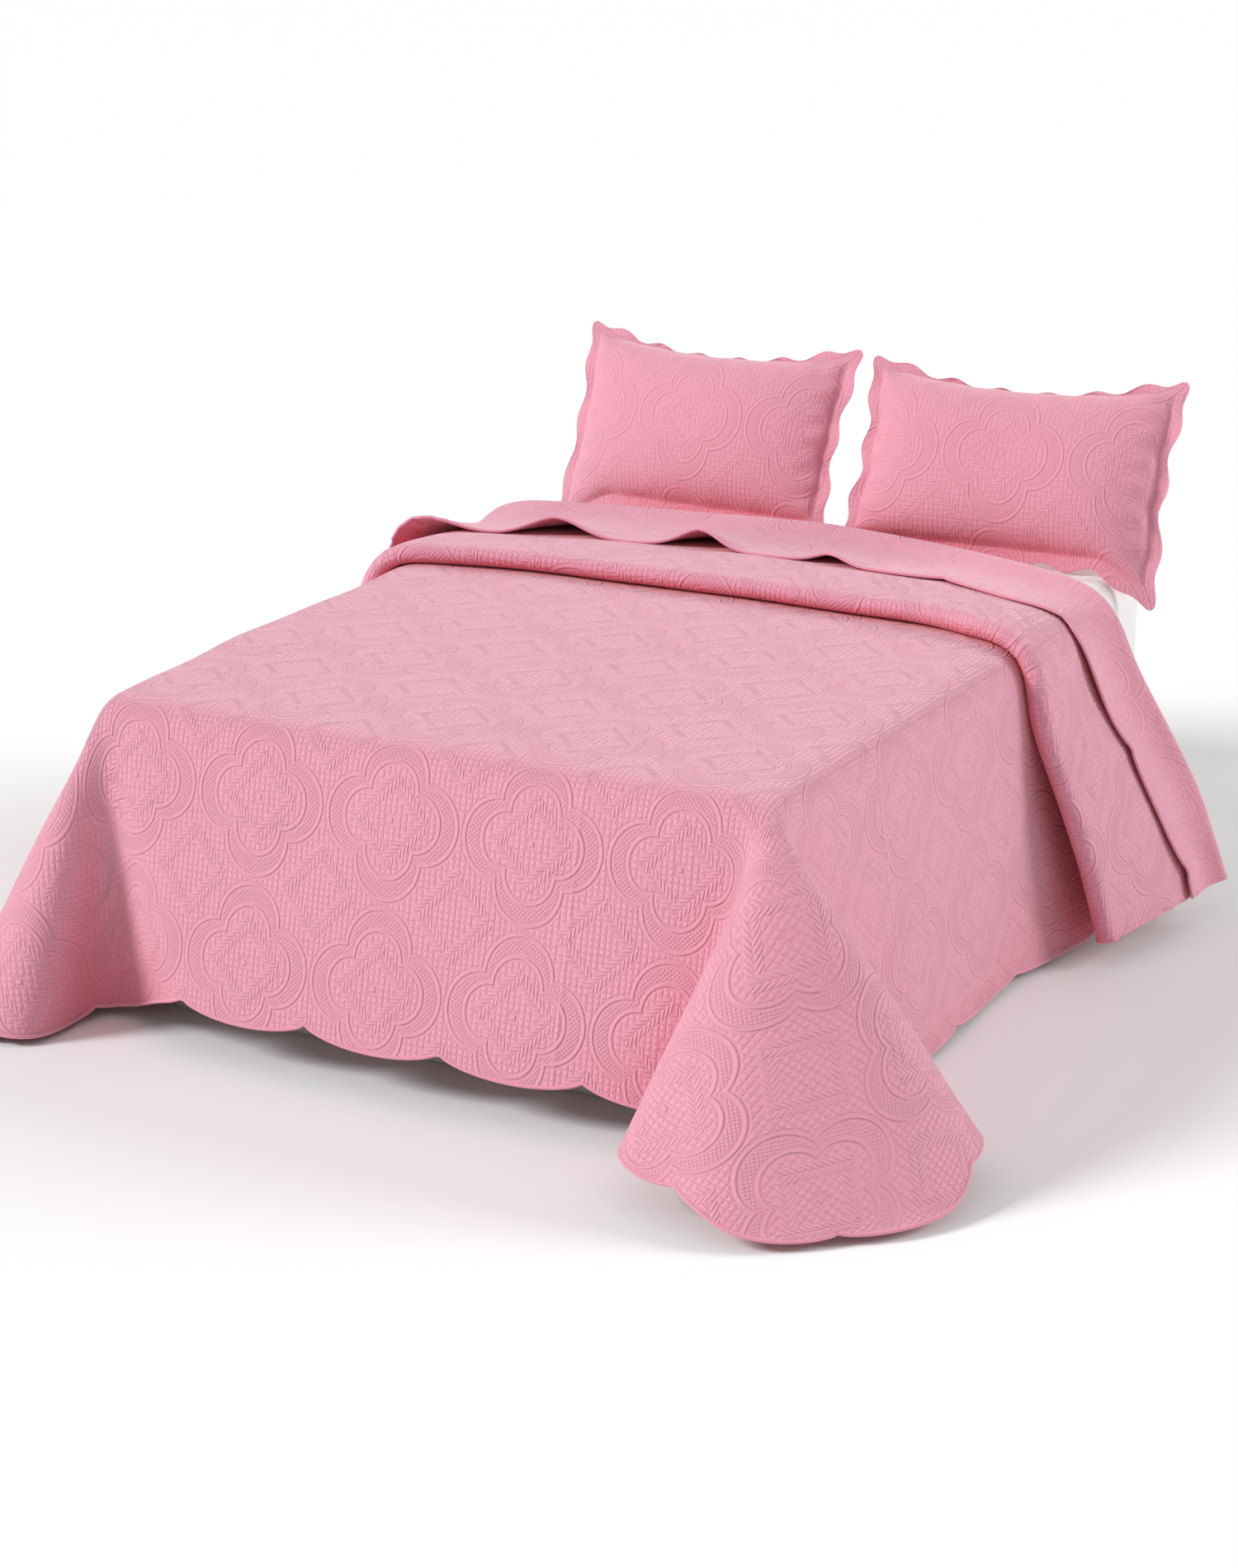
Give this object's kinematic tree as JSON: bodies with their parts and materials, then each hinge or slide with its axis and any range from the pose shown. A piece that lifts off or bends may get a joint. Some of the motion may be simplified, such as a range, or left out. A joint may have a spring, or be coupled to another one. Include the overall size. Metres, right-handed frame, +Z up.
{
  "type": "summer quilt with pillow shams on a bed",
  "caption": "Quilted cotton summer bedspread with a scalloped hem, laid over a double bed, turned back at the head, with matching pillow shams.",
  "frame": {"origin": "on the floor under the middle of the bed base", "axes": "+X across the bed, +Y along the bed towards the head, +Z up"},
  "size_m": [2.2336, 2.516, 1.068],
  "materials": {
    "pink_cotton": "quilted matte cotton",
    "white_sheet": "smooth matte cotton",
    "grey_base": "plain woven cover"
  },
  "bodies": {
    "root": {"quilt": "pink_cotton", "left_sham": "pink_cotton", "right_sham": "pink_cotton", "mattress": "white_sheet", "bed_base": "grey_base"}
  },
  "joints": []
}
